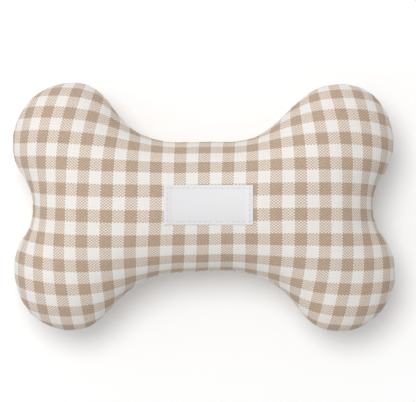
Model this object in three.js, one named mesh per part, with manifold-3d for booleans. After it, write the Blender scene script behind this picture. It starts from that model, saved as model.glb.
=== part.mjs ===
// A bone-shaped squeaky dog toy: two cotton panels sewn together round their edge, turned,
// stuffed with fibre in wads round a plastic squeaker, and closed by hand at the shank.
// Lengths are millimetres. +X runs along the bone, +Z up through the panel with the label,
// and the toy rests on Z = 0, under the middle of its own box.

import * as THREE from 'three';
import { mergeVertices } from 'three/addons/utils/BufferGeometryUtils.js';
import Module from 'manifold-3d';

const wasm = await Module();
wasm.setup();

// Outline of the sewn bone, seen from above
const knobRadius = 30.4;
const knobCentreX = 70.0;
const knobCentreY = 34.7;
const notchDepth = 11.8;
const notchReach = knobCentreX + knobRadius - notchDepth;
const shankHalfWidth = 33.4;
const knobHandle = 24.5;
const shankHandle = 53.0;

// How full the stuffing makes it: 1 would make a long straight shank perfectly round
const fullnessShare = 0.83;
const restFlatDepth = 0.5;

// Cover, seam and the gap left between any two pieces that touch
const coverThickness = 1.0;
const seamAllowance = 8.0;
const threadRadius = 0.25;
const clearance = 0.3;
const closingSeamLength = 52.0;
const closingStitchPitch = 4.0;
const closingStitchReach = 1.3;

// Woven label
const labelLength = 45.6;
const labelWidth = 20.6;
const labelThickness = 0.8;
const labelCentreX = 2.6;
const labelCentreY = 0.6;
const labelStitchInset = 1.6;
const labelStitchPitch = 2.8;
const labelStitchRise = 0.15;

// Wads of fibre
const knobWadStart = 64.0;
const knobWadAngle = THREE.MathUtils.degToRad(47);
const shankWadHalfLength = 38.0;

// Blown squeaker bulb with its neck along +X
const bulbRadius = 21.0;
const bulbHalfHeight = 10.0;
const bulbWall = 1.0;
const neckRadius = 6.0;
const neckBore = 5.0;
const neckReach = 30.0;

// Reed insert, pushed into the neck
const ferruleBore = 3.6;
const ferruleLength = 14.0;
const ferruleCollar = 1.6;
const bedLength = 12.0;
const bedWall = 1.1;
const wedgeLength = 3.5;
const tongueLength = 10.5;
const tongueWidth = 4.4;
const tongueThickness = 0.4;
const tongueTail = 1.8;

// Counts
const aroundSteps = 51;
const aroundStride = 3;
const deepSteps = 21;
const deepStride = 3;
const seamThreadStride = 2;
const labelColumns = 12;
const labelRows = 6;
const bulbSides = 28;
const bulbArcSteps = 4;
const barSides = 24;
const threadSides = 4;

// Shares of the outline that lay the grid out: how far the spine reaches towards the knobs'
// centres, and how its points crowd towards its ends
const spineShare = 0.88;
const spineCrowdShare = 1.2;
const solverStopShare = 1e-12;

// The quarter outline from the notch at the +X end, round the knob, to the middle of the shank
function quarterOutline() {
  const dip = notchReach - knobCentreX;
  const notchRadius = (dip ** 2 + knobCentreY ** 2 - knobRadius ** 2) / (2 * (knobRadius - dip));
  const notchX = notchReach + notchRadius;
  const lean = Math.atan2(knobCentreY, notchX - knobCentreX);
  const path = new THREE.Path();
  path.absarc(notchX, 0, notchRadius, Math.PI, Math.PI - lean, true);
  path.absarc(knobCentreX, knobCentreY, knobRadius, -lean, Math.PI / 2, false);
  path.bezierCurveTo(
    knobCentreX - knobHandle, knobCentreY + knobRadius,
    shankHandle, shankHalfWidth,
    0, shankHalfWidth,
  );
  return path;
}

// A flat grid over the quarter: station k goes along the outline, and step j from it to the spine
function quarterGrid() {
  const rim = quarterOutline().getSpacedPoints(aroundSteps);
  const spineEnd = knobCentreX * spineShare;
  const points = [];
  for (let k = 0; k <= aroundSteps; k++) {
    const along = (k / aroundSteps) ** spineCrowdShare;
    const spine = new THREE.Vector2(spineEnd * Math.cos(along * Math.PI / 2), 0);
    if (k === 0) rim[k].y = 0;
    if (k === aroundSteps) {
      rim[k].x = 0;
      spine.x = 0;
    }
    for (let j = 0; j <= deepSteps; j++) {
      const inward = 1 - Math.cos(Math.PI / 2 * j / deepSteps);
      points.push(rim[k].clone().lerp(spine, j === deepSteps ? 1 : inward));
    }
  }
  const triangles = [];
  const row = deepSteps + 1;
  for (let k = 0; k < aroundSteps; k++) {
    for (let j = 0; j < deepSteps; j++) {
      const corner = k * row + j;
      triangles.push([corner, corner + row, corner + 1]);
      triangles.push([corner + row, corner + row + 1, corner + 1]);
    }
  }
  return { points, triangles };
}

// Gradient of each corner's hat function over a triangle, and the triangle's area
function hatGradients(points, triangle) {
  const [a, b, c] = triangle.map((v) => points[v]);
  const twice = (b.x - a.x) * (c.y - a.y) - (c.x - a.x) * (b.y - a.y);
  const gradients = [[b, c], [c, a], [a, b]].map(
    ([from, to]) => new THREE.Vector2(from.y - to.y, to.x - from.x).divideScalar(twice),
  );
  return { gradients, area: Math.abs(twice) / 2 };
}

// A stretched skin under even pressure: its load is one everywhere and its rim stays at zero.
// The square root of twice its height is an ellipse across a strip, which swells and tapers.
function solveSkin({ points, triangles }) {
  const free = points.map((_, v) => v % (deepSteps + 1) !== 0);
  const parts = triangles.map((triangle) => ({ triangle, ...hatGradients(points, triangle) }));
  const load = points.map(() => 0);
  for (const { triangle, area } of parts) {
    for (const v of triangle) if (free[v]) load[v] += area / 3;
  }
  const stiffness = (field) => {
    const out = points.map(() => 0);
    for (const { triangle, gradients, area } of parts) {
      const slope = new THREE.Vector2();
      triangle.forEach((v, i) => slope.addScaledVector(gradients[i], field[v]));
      triangle.forEach((v, i) => {
        if (free[v]) out[v] += area * slope.dot(gradients[i]);
      });
    }
    return out;
  };
  const dot = (a, b) => a.reduce((sum, value, v) => sum + value * b[v], 0);
  const height = points.map(() => 0);
  const rest = [...load];
  let step = [...load];
  let size = dot(rest, rest);
  const enough = size * solverStopShare ** 2;
  while (size > enough) {
    const pushed = stiffness(step);
    const length = size / dot(step, pushed);
    points.forEach((_, v) => {
      height[v] += length * step[v];
      rest[v] -= length * pushed[v];
    });
    const nextSize = dot(rest, rest);
    step = rest.map((value, v) => value + (nextSize / size) * step[v]);
    size = nextSize;
  }
  const slopes = points.map(() => new THREE.Vector2());
  for (const { triangle, gradients, area } of parts) {
    const slope = new THREE.Vector2();
    triangle.forEach((v, i) => slope.addScaledVector(gradients[i], height[v]));
    for (const v of triangle) slopes[v].addScaledVector(slope, area);
  }
  const shares = points.map(() => 0);
  for (const { triangle, area } of parts) for (const v of triangle) shares[v] += area;
  slopes.forEach((slope, v) => {
    slope.divideScalar(shares[v]);
    if (points[v].y === 0) slope.y = 0;
    if (points[v].x === 0) slope.x = 0;
  });
  return { height, slopes };
}

const grid = quarterGrid();
const skin = solveSkin(grid);
const rise = skin.height.map((height) => fullnessShare * Math.sqrt(2 * Math.max(height, 0)));
const fullRise = Math.max(...rise);
const seamHeight = fullRise + clearance / 2 - restFlatDepth;

// A point on the upper dome, measured up from the seam, moved inwards square to the dome
function domePoint(flat, height, slope, depth) {
  const normal = new THREE.Vector3(-slope.x, -slope.y, height / fullnessShare ** 2).normalize();
  return new THREE.Vector3(flat.x, flat.y, height).addScaledVector(normal, -depth);
}

// The strided stations of the quarter at step j, and points set in from the outline
function ringAt(j, depth) {
  const ring = [];
  for (let k = 0; k <= aroundSteps; k += aroundStride) {
    const v = k * (deepSteps + 1) + j;
    ring.push(domePoint(grid.points[v], rise[v], skin.slopes[v], depth));
  }
  return ring;
}

function insetRing(inset, height) {
  return ringAt(0, inset).map((point) => point.setZ(height));
}

// One closed loop, counterclockwise from above, out of a quarter's points
function mirrored(quarter) {
  const turned = (point, x, y) => new THREE.Vector3(point.x * x, point.y * y, point.z);
  const back = [...quarter].reverse();
  return [
    ...quarter.map((point) => turned(point, 1, 1)),
    ...back.slice(1).map((point) => turned(point, -1, 1)),
    ...quarter.slice(1).map((point) => turned(point, -1, -1)),
    ...back.slice(1, -1).map((point) => turned(point, 1, -1)),
  ];
}

// A closed body from loops that start and end folded flat on a line. Each four-sided patch is
// split so that its smaller triangle is as large as it can be.
function loft(levels) {
  const count = levels[0].length;
  const points = levels.flat();
  const smaller = (...triangles) => Math.min(...triangles.map(
    (corners) => new THREE.Triangle(...corners.map((v) => points[v])).getArea(),
  ));
  const index = [];
  for (let level = 0; level + 1 < levels.length; level++) {
    for (let i = 0; i < count; i++) {
      const [a, d] = [level * count + i, level * count + (i + 1) % count];
      const [b, c] = [a + count, d + count];
      if (smaller([a, b, c], [a, c, d]) > smaller([a, b, d], [b, c, d])) {
        index.push(a, b, c, a, c, d);
      } else {
        index.push(a, b, d, b, c, d);
      }
    }
  }
  const geometry = new THREE.BufferGeometry();
  const values = points.flatMap((point) => [point.x, point.y, point.z]);
  geometry.setAttribute('position', new THREE.Float32BufferAttribute(values, 3));
  geometry.setIndex(index);
  return mergeVertices(geometry);
}

function lifted(quarter, sign) {
  return quarter.map((point) => new THREE.Vector3(point.x, point.y, seamHeight + sign * point.z));
}

const domeSteps = [];
for (let j = deepSteps; j > 0; j -= deepStride) domeSteps.push(j);

// One cotton panel: the dome, its allowance turned in along the seam, and its inner side
function panelLevels() {
  const halfGap = clearance / 2;
  const raised = (quarter) => quarter.map((point) => point.setZ(point.z + halfGap));
  return [
    ...domeSteps.map((j) => raised(ringAt(j, 0))),
    insetRing(0, halfGap),
    insetRing(seamAllowance, halfGap),
    insetRing(seamAllowance, halfGap + coverThickness),
    insetRing(coverThickness, halfGap + coverThickness),
    ...[...domeSteps].reverse().map((j) => raised(ringAt(j, coverThickness))),
  ];
}

// A closed mesh as a solid, with its shared corners merged and the slivers that this leaves dropped
function solid(geometry) {
  const bare = new THREE.BufferGeometry();
  bare.setAttribute('position', geometry.attributes.position);
  bare.setIndex(geometry.index);
  const merged = mergeVertices(bare);
  const corners = [...merged.index.array];
  const kept = [];
  for (let i = 0; i < corners.length; i += 3) {
    const [a, b, c] = corners.slice(i, i + 3);
    if (a !== b && b !== c && c !== a) kept.push(a, b, c);
  }
  return new wasm.Manifold(new wasm.Mesh({
    numProp: 3,
    vertProperties: new Float32Array(merged.attributes.position.array),
    triVerts: new Uint32Array(kept),
  }));
}

function surface(manifold) {
  const mesh = manifold.getMesh();
  const geometry = new THREE.BufferGeometry();
  geometry.setAttribute('position', new THREE.Float32BufferAttribute(mesh.vertProperties, 3));
  geometry.setIndex([...mesh.triVerts]);
  return geometry;
}

function frontPanel() {
  return loft(panelLevels().map((quarter) => mirrored(lifted(quarter, 1))));
}

// Blocks for cutting, wider and taller than the whole toy
const blockSize = 4 * (knobCentreX + knobRadius);

function above(height) {
  const block = new THREE.BoxGeometry(blockSize, blockSize, blockSize);
  return solid(block.translate(0, 0, height + blockSize / 2));
}

// Everything on the side of an upright plane that the given angle points to
function beyond(angle, start) {
  const block = new THREE.BoxGeometry(blockSize, blockSize, blockSize);
  return solid(block.translate(start + blockSize / 2, 0, 0).rotateZ(angle));
}

// The back panel mirrors the front one and is cut flat where the toy stands on it
function backPanel() {
  const whole = loft(panelLevels().reverse().map((quarter) => mirrored(lifted(quarter, -1))));
  return surface(solid(whole).intersect(above(0)));
}

// Heights from the seam's middle: a panel's turned-in allowance, its thread's centre and the
// groove in the stuffing that leaves room for both
const allowanceTop = clearance / 2 + coverThickness;
const seamThreadLevel = allowanceTop + clearance + threadRadius;
const grooveHalf = seamThreadLevel + threadRadius + clearance;

// Everything the cover holds, in one piece
function wholeStuffing() {
  const depth = coverThickness + clearance;
  const half = [
    ...domeSteps.map((j) => ringAt(j, depth)),
    insetRing(depth + clearance / 2, grooveHalf),
    insetRing(seamAllowance + clearance, grooveHalf),
  ];
  const upper = half.map((quarter) => lifted(quarter, 1));
  const lower = half.map((quarter) => lifted(quarter, -1)).reverse();
  return solid(loft([...upper, ...lower].map(mirrored)));
}

// Bulb, filled in, grown all round by a margin and seated in the seam's plane
function bulbSolid(grow) {
  const edge = bulbHalfHeight + grow;
  const path = new THREE.Path();
  path.moveTo(0, -edge);
  path.lineTo(bulbRadius - bulbHalfHeight, -edge);
  path.absarc(bulbRadius - bulbHalfHeight, 0, edge, -Math.PI / 2, Math.PI / 2, false);
  path.lineTo(0, edge);
  const body = new THREE.LatheGeometry(path.getPoints(bulbArcSteps), bulbSides);
  return solid(body.rotateX(Math.PI / 2).translate(0, 0, seamHeight));
}

// A round bar along X
function bar(radius, from, to) {
  const rod = new THREE.CylinderGeometry(radius, radius, to - from, barSides);
  return solid(rod.rotateZ(-Math.PI / 2).translate((from + to) / 2, 0, seamHeight));
}

const neckRoot = bulbRadius - bulbHalfHeight;
const collarEnd = neckReach + clearance + ferruleCollar;

function bulb() {
  const outer = bulbSolid(0).add(bar(neckRadius, neckRoot, neckReach));
  const inner = bulbSolid(-bulbWall).add(bar(neckBore, neckRoot, neckReach + bulbWall));
  return surface(outer.subtract(inner));
}

function squeakerRoom() {
  const round = bar(neckRadius + clearance, neckRoot, collarEnd + clearance);
  return bulbSolid(clearance).add(round);
}

// Wads of fibre, cut from the whole so that they fill the cover together
function wads() {
  const half = clearance / 2;
  const knobs = {
    knob_fill_right_far: knobWadAngle,
    knob_fill_left_far: Math.PI - knobWadAngle,
    knob_fill_left_near: Math.PI + knobWadAngle,
    knob_fill_right_near: -knobWadAngle,
  };
  const all = wholeStuffing();
  const found = {};
  let middle = all;
  for (const [name, angle] of Object.entries(knobs)) {
    found[name] = surface(all.intersect(beyond(angle, knobWadStart + half)));
    middle = middle.subtract(beyond(angle, knobWadStart - half));
  }
  const right = beyond(0, shankWadHalfLength + half);
  const left = beyond(Math.PI, shankWadHalfLength + half);
  found.end_fill_right = surface(middle.intersect(right));
  found.end_fill_left = surface(middle.intersect(left));
  const shank = middle
    .subtract(beyond(0, shankWadHalfLength - half))
    .subtract(beyond(Math.PI, shankWadHalfLength - half))
    .subtract(squeakerRoom());
  found.shank_fill_front = surface(shank.intersect(above(seamHeight + half)));
  found.shank_fill_back = surface(shank.subtract(above(seamHeight - half)));
  return found;
}

// Reed insert: a ferrule in the neck, a trough-shaped bed, the tongue and the wedge over its tail
const ferruleStart = neckReach - ferruleLength;
const bedStart = ferruleStart + clearance;
const bedRadius = ferruleBore - clearance;

function ferrule() {
  const body = bar(neckBore - clearance, ferruleStart, neckReach);
  const collar = bar(neckRadius, neckReach + clearance, collarEnd);
  const stem = bar(neckBore - clearance, neckReach - clearance, neckReach + 2 * clearance);
  const bore = bar(ferruleBore, ferruleStart - bulbWall, collarEnd + bulbWall);
  return surface(body.add(collar).add(stem).subtract(bore));
}

function halfRound(radius, start, end, upper) {
  const rod = bar(radius, start, end);
  const gap = tongueThickness / 2 + clearance;
  if (upper) return rod.intersect(above(seamHeight + gap));
  return rod.subtract(above(seamHeight - gap));
}

function reedBed() {
  const trough = halfRound(bedRadius, bedStart, bedStart + bedLength, false);
  const channel = bar(bedRadius - bedWall, bedStart + wedgeLength, bedStart + bedLength + bedWall);
  return surface(trough.subtract(channel));
}

function reedWedge() {
  return surface(halfRound(bedRadius, bedStart, bedStart + wedgeLength, true));
}

const hingeX = bedStart + wedgeLength;

function reedTongue() {
  const strip = new THREE.BoxGeometry(tongueLength, tongueWidth, tongueThickness);
  return strip.translate(hingeX - tongueTail + tongueLength / 2, 0, seamHeight);
}

// Where a spot of the flat quarter lies on the upper dome, a height above its cloth
function clothPoint(x, y, height) {
  const target = new THREE.Vector2(Math.abs(x), Math.abs(y));
  const edge = (a, b, p) => (b.x - a.x) * (p.y - a.y) - (b.y - a.y) * (p.x - a.x);
  let best = null;
  for (const triangle of grid.triangles) {
    const [a, b, c] = triangle.map((v) => grid.points[v]);
    const whole = edge(a, b, c);
    const shares = [edge(b, c, target), edge(c, a, target), edge(a, b, target)];
    const inside = Math.min(...shares.map((share) => share / whole));
    if (best === null || inside > best.inside) {
      best = { inside, triangle, shares: shares.map((share) => share / whole) };
    }
  }
  const mix = (values) => best.shares.reduce((sum, s, i) => sum + s * values[best.triangle[i]], 0);
  const slope = new THREE.Vector2();
  best.triangle.forEach((v, i) => slope.addScaledVector(skin.slopes[v], best.shares[i]));
  slope.set(slope.x * Math.sign(x), slope.y * Math.sign(y));
  const risen = fullnessShare * Math.sqrt(2 * mix(skin.height));
  const point = domePoint(new THREE.Vector2(x, y), risen, slope, -height);
  return point.setZ(point.z + seamHeight + clearance / 2);
}

// A closed patch of cloth over the label's place, from an underside to an upper side
function label() {
  const values = [];
  for (const height of [clearance, clearance + labelThickness]) {
    for (let row = 0; row <= labelRows; row++) {
      for (let column = 0; column <= labelColumns; column++) {
        const x = labelCentreX + labelLength * (column / labelColumns - 1 / 2);
        const y = labelCentreY + labelWidth * (row / labelRows - 1 / 2);
        values.push(...clothPoint(x, y, height).toArray());
      }
    }
  }
  const layer = (labelRows + 1) * (labelColumns + 1);
  const at = (column, row) => row * (labelColumns + 1) + column;
  const index = [];
  for (let row = 0; row < labelRows; row++) {
    for (let column = 0; column < labelColumns; column++) {
      const [a, b] = [at(column, row), at(column + 1, row)];
      const [c, d] = [at(column + 1, row + 1), at(column, row + 1)];
      index.push(a, d, c, a, c, b);
      index.push(a + layer, b + layer, c + layer, a + layer, c + layer, d + layer);
    }
  }
  const border = [];
  for (let column = 0; column < labelColumns; column++) border.push(at(column, 0));
  for (let row = 0; row < labelRows; row++) border.push(at(labelColumns, row));
  for (let column = labelColumns; column > 0; column--) border.push(at(column, labelRows));
  for (let row = labelRows; row > 0; row--) border.push(at(0, row));
  border.forEach((from, i) => {
    const to = border[(i + 1) % border.length];
    index.push(from, to, to + layer, from, to + layer, from + layer);
  });
  const geometry = new THREE.BufferGeometry();
  geometry.setAttribute('position', new THREE.Float32BufferAttribute(values, 3));
  geometry.setIndex(index);
  return geometry;
}

// A thread along points, as a thin tube with closed ends
function thread(points, steps) {
  const corners = [];
  for (let i = 0; i < threadSides; i++) {
    const angle = (i + 1 / 2) * 2 * Math.PI / threadSides;
    corners.push(new THREE.Vector2(Math.cos(angle), Math.sin(angle)).multiplyScalar(threadRadius));
  }
  return new THREE.ExtrudeGeometry(new THREE.Shape(corners), {
    steps,
    bevelEnabled: false,
    extrudePath: new THREE.CatmullRomCurve3(points, false, 'centripetal'),
  });
}

// Stitches round the label, a stitch in from its edge, that dip at each needle hole
function labelThread() {
  const halfX = labelLength / 2 - labelStitchInset;
  const halfY = labelWidth / 2 - labelStitchInset;
  const corners = [[-1, -1], [1, -1], [1, 1], [-1, 1], [-1, -1]];
  const low = clearance + labelThickness + clearance + threadRadius;
  const points = [];
  for (let side = 0; side < 4; side++) {
    const [from, to] = [corners[side], corners[side + 1]];
    const run = side % 2 === 0 ? 2 * halfX : 2 * halfY;
    const halves = 2 * Math.round(run / labelStitchPitch);
    for (let i = 0; i < halves; i++) {
      const x = halfX * THREE.MathUtils.lerp(from[0], to[0], i / halves);
      const y = halfY * THREE.MathUtils.lerp(from[1], to[1], i / halves);
      const height = low + (i % 2) * labelStitchRise;
      points.push(clothPoint(labelCentreX + x, labelCentreY + y, height));
    }
  }
  return thread(points, points.length);
}

// The outline as one run from beside the closing seam, all the way round, to its other side
function outlineRun() {
  const quarter = quarterOutline().getSpacedPoints(aroundSteps);
  const normals = quarter.map((_, k) => skin.slopes[k * (deepSteps + 1)].clone().normalize());
  const whole = quarter.map((point, k) => ({ point, inward: normals[k] }));
  const turned = ({ point, inward }, x, y) => ({
    point: new THREE.Vector2(point.x * x, point.y * y),
    inward: new THREE.Vector2(inward.x * x, inward.y * y),
  });
  const back = [...whole].reverse();
  const loop = [
    ...back.map((spot) => turned(spot, 1, -1)),
    ...whole.slice(1).map((spot) => turned(spot, 1, 1)),
    ...back.slice(1).map((spot) => turned(spot, -1, 1)),
    ...whole.slice(1).map((spot) => turned(spot, -1, -1)),
  ];
  const kept = loop.filter(({ point }) => (
    point.y > 0 || Math.abs(point.x) > closingSeamLength / 2
  ));
  return kept.filter((_, i) => i % seamThreadStride === 0);
}

// The two threads of the lockstitch, one inside each panel on its turned-in allowance
function seamThread(sign) {
  const inset = coverThickness + 2 * clearance + 2 * threadRadius;
  const points = outlineRun().map(({ point, inward }) => {
    const place = point.clone().addScaledVector(inward, inset);
    return new THREE.Vector3(place.x, place.y, seamHeight + sign * seamThreadLevel);
  });
  return thread(points, points.length);
}

// Hand stitches that zigzag over the last stretch of the seam
function closingThread() {
  const stitches = Math.round(closingSeamLength / closingStitchPitch);
  const outward = clearance + threadRadius;
  const edge = grid.points.filter((_, v) => v % (deepSteps + 1) === 0);
  const points = [];
  for (let i = 0; i <= stitches; i++) {
    const x = closingSeamLength * (i / stitches - 1 / 2);
    const after = edge.findIndex((point) => point.x <= Math.abs(x));
    const [a, b] = [edge[Math.max(after - 1, 0)], edge[after]];
    const share = a.x === b.x ? 0 : (a.x - Math.abs(x)) / (a.x - b.x);
    const y = THREE.MathUtils.lerp(a.y, b.y, share) + outward;
    const side = i % 2 === 0 ? closingStitchReach : -closingStitchReach;
    points.push(new THREE.Vector3(x, -y, seamHeight + side));
  }
  return thread(points, 2 * stitches);
}

function cloth(color, roughness) {
  return new THREE.MeshStandardMaterial({ color, roughness, metalness: 0 });
}

const finishes = {
  cotton: cloth(0xcdbfae, 0.9),
  satin: cloth(0xe8e9ec, 0.55),
  thread: cloth(0xd8d9dc, 0.7),
  seamThread: cloth(0xece6dc, 0.7),
  fibre: cloth(0xf4f2ee, 1.0),
  soft: cloth(0xdfe3e4, 0.45),
  hard: cloth(0xf0f0ea, 0.35),
  brass: new THREE.MeshStandardMaterial({ color: 0xc9a24a, roughness: 0.3, metalness: 1 }),
};

const toy = new THREE.Group();

function add(name, geometry, material) {
  const mesh = new THREE.Mesh(geometry, material.clone());
  mesh.name = name;
  toy.add(mesh);
}

add('front_panel', frontPanel(), finishes.cotton);
add('back_panel', backPanel(), finishes.cotton);
add('needle_thread', seamThread(1), finishes.seamThread);
add('bobbin_thread', seamThread(-1), finishes.seamThread);
add('closing_thread', closingThread(), finishes.seamThread);
add('label', label(), finishes.satin);
add('label_thread', labelThread(), finishes.thread);
for (const [name, geometry] of Object.entries(wads())) add(name, geometry, finishes.fibre);
add('squeaker_bulb', bulb(), finishes.soft);
add('reed_ferrule', ferrule(), finishes.hard);
add('reed_bed', reedBed(), finishes.hard);
add('reed_wedge', reedWedge(), finishes.hard);
add('reed_tongue', reedTongue(), finishes.brass);

export default toy;
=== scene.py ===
"""A bone-shaped squeaky dog toy in gingham cotton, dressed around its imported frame.

Lengths are written in millimetres and turned into Blender's metres where a mesh is made.
"""

import math

import bmesh
import bpy
import numpy as np
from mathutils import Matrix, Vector, noise
from mathutils.bvhtree import BVHTree


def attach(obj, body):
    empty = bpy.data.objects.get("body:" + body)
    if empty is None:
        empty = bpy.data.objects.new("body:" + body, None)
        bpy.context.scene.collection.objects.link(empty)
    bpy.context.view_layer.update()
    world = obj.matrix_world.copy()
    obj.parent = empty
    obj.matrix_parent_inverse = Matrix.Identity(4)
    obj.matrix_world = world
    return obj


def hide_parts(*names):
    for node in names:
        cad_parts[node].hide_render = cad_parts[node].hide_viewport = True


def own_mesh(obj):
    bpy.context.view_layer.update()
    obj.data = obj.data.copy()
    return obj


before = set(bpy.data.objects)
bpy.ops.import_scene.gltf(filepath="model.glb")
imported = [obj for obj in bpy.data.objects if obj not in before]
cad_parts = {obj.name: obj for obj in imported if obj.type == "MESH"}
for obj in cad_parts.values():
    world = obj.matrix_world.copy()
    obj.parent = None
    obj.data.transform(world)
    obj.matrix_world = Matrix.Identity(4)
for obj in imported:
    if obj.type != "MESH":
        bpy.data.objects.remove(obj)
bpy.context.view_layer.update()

MM = 0.001

# Outline of the sewn bone, as in the frame
KNOB_RADIUS = 30.4
KNOB_CENTRE = (70.0, 34.7)
NOTCH_REACH = 88.6
SHANK_HALF_WIDTH = 33.4
KNOB_HANDLE = 24.5
SHANK_HANDLE = 53.0
FULLNESS_SHARE = 0.83
SPINE_SHARE = 0.88
SPINE_CROWD_SHARE = 1.2
REST_FLAT_DEPTH = 0.5
COVER_THICKNESS = 1.0
SEAM_ALLOWANCE = 8.0
ALLOWANCE_STEPS = 4
CLEARANCE = 0.3

# Steps of the cover's grid along a quarter of the outline and from it to the spine, and how many
# of them make one step while the cloth is laid flat
AROUND = 120
DEEP = 56
FLATTEN_STRIDES = (3, 2)

# Solvers: the share of the skin's load that may be left over; how much larger than the dome's
# plan the cloth starts, how many steps lay it flat, and what a fold costs; the first step of a
# search, the least fall it must bring, the shortest step, the least curve and the steps kept
SKIN_LEFT_OVER_SHARE = 1e-20
FLATTEN_START = 1.15
FLATTEN_STEPS = 500
FOLD_COST = 1e9
SEARCH_START = 1e-3
SEARCH_FALL_SHARE = 1e-4
SEARCH_SHORTEST = 1e-8
SEARCH_CURVE = 1e-14
SEARCH_KEPT = 12

# Photograph: its size, the bone's middle in it, and how many millimetres a pixel covers
PHOTO_SIZE = (416, 402)
PHOTO_MIDDLE = (203.6, 206.0)
MM_PER_PIXEL = 0.526
CAMERA_DISTANCE = 1300.0
SENSOR_WIDTH = 36.0

# Gingham: its repeat, the threads in it across and up, and how the cloth lies on the toy. Each
# term is a shift in mm, times powers of the place across and up the cloth
GINGHAM_REPEAT = 12.7
THREADS_PER_REPEAT = (14, 18)
LAY_SPAN = (100.0, 60.0)
LAY_ACROSS = {(0, 0): 0.05, (1, 0): -3.49, (0, 1): -0.89, (1, 1): 1.80, (2, 0): -0.44,
              (3, 0): 3.37, (1, 2): 3.69, (0, 3): -0.63, (2, 1): 0.34}
LAY_UP = {(0, 0): 4.81, (1, 0): -1.83, (0, 1): -1.48, (1, 1): 0.49, (0, 2): -0.71,
          (2, 0): -1.06, (3, 0): 3.03, (1, 2): 0.37, (0, 3): 0.42, (2, 1): 0.98}
SHEAR_SHARE = 0.2

# Seam: how far it draws the cloth in, over which distance, and its stitches
SEAM_DRAW = 0.9
SEAM_DRAW_REACH = 1.5
SEAM_STITCH = 2.6
STITCH_DIMPLE = 0.12
STITCH_DIMPLE_REACH = 1.2

# Gathers along the seam: how many waves go round, the phase and size in mm of each
SEAM_WAVES = ((42, 0.3, 0.08), (64, 1.7, 0.08), (97, 4.1, 0.07))
SEAM_WAVE_REACH = 6.0

# Hand-sewn unevenness of the outline: how far each nudge reaches, and its place and shift in mm
NUDGE_REACH = 11.0
NUDGES = ((89, 0, 0.4, 0.0), (97, 21, -0.1, 0.0), (99, 44, -0.7, -0.2), (84, 62, 0.2, 0.3),
          (66, 65, 0.1, -1.1), (44, 48, -0.9, 1.1), (24, 36, 0.3, -1.0), (1, 33, 0.0, 0.7),
          (-22, 36, -0.2, -1.1), (-38, 42, -0.6, -0.9), (-53, 57, 0.7, 0.6), (-82, 63, 0.1, -0.3),
          (-98, 47, 0.6, -0.2), (-98, 24, -0.6, -0.2), (-89, 3, -1.3, -0.1), (-96, -19, -0.2, 0.1),
          (-100, -41, 1.0, 0.2), (-64, -64, 0.1, -0.5), (-46, -50, 0.6, -0.6),
          (-27, -37, 0.1, -0.3), (-4, -33, 0.0, -1.0), (19, -35, 0.1, 0.5), (40, -44, 0.5, 0.7),
          (57, -61, -0.4, -0.6), (79, -64, 0.4, -1.1), (97, -49, 0.5, -0.3), (99, -26, 0.2, 0.1))
BACK_CLOTH_SHIFT = (0.31, 0.43)


# Outline and skin of the bone, in millimetres above the seam's plane


def quarter_outline(count):
    """Evenly spaced points from the notch at the +X end, round the knob, to the shank's middle."""
    centre_x, centre_y = KNOB_CENTRE
    dip = NOTCH_REACH - centre_x
    notch_radius = (dip**2 + centre_y**2 - KNOB_RADIUS**2) / (2 * (KNOB_RADIUS - dip))
    notch_x = NOTCH_REACH + notch_radius
    lean = math.atan2(centre_y, notch_x - centre_x)
    turn = np.linspace(math.pi, math.pi - lean, count)
    notch = np.c_[notch_x + notch_radius * np.cos(turn), notch_radius * np.sin(turn)]
    turn = np.linspace(-lean, math.pi / 2, 2 * count)
    knob = np.c_[centre_x + KNOB_RADIUS * np.cos(turn), centre_y + KNOB_RADIUS * np.sin(turn)]
    t = np.linspace(0, 1, 2 * count)[:, None]
    top = centre_y + KNOB_RADIUS
    handles = np.array([(centre_x, top), (centre_x - KNOB_HANDLE, top),
                        (SHANK_HANDLE, SHANK_HALF_WIDTH), (0, SHANK_HALF_WIDTH)])
    flank = sum(math.comb(3, i) * (1 - t) ** (3 - i) * t**i * handles[i] for i in range(4))
    path = np.vstack([notch, knob[1:], flank[1:]])
    run = np.r_[0, np.cumsum(np.hypot(*np.diff(path, axis=0).T))]
    stations = np.linspace(0, run[-1], count + 1)
    points = np.c_[np.interp(stations, run, path[:, 0]), np.interp(stations, run, path[:, 1])]
    points[0, 1] = points[-1, 0] = 0
    return points, run[-1]


def unit(vectors):
    """Vectors with the same directions and a length of 1."""
    return vectors / np.linalg.norm(vectors, axis=-1, keepdims=True)


def cells(index):
    """The four corners of each cell in a grid of point numbers."""
    corners = index[:-1, :-1], index[1:, :-1], index[1:, 1:], index[:-1, 1:]
    return np.stack(corners, -1).reshape(-1, 4)


def grid_triangles(shape):
    """Numbers of a grid's points, and the two triangles in each of its cells."""
    index = np.arange(shape[0] * shape[1]).reshape(shape[:2])
    corners = cells(index)
    return index, np.vstack([corners[:, [0, 1, 3]], corners[:, 1:]])


def quarter_grid(around, deep):
    """Flat points of the quarter, from the outline to the spine, with grid_triangles' two."""
    rim, _ = quarter_outline(around)
    along = (np.arange(around + 1) / around) ** SPINE_CROWD_SHARE
    spine = np.c_[KNOB_CENTRE[0] * SPINE_SHARE * np.cos(along * math.pi / 2), 0 * along]
    spine[-1, 0] = 0
    inward = 1 - np.cos(math.pi / 2 * np.arange(deep + 1) / deep)
    inward[-1] = 1
    points = rim[:, None] * (1 - inward)[None, :, None] + spine[:, None] * inward[None, :, None]
    return points.reshape(-1, 2), *grid_triangles(points.shape)


def spread(values, triangles, count):
    """Sums of each triangle's three corner values at its corners."""
    return np.bincount(triangles.ravel(), values.ravel(), count)


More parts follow.
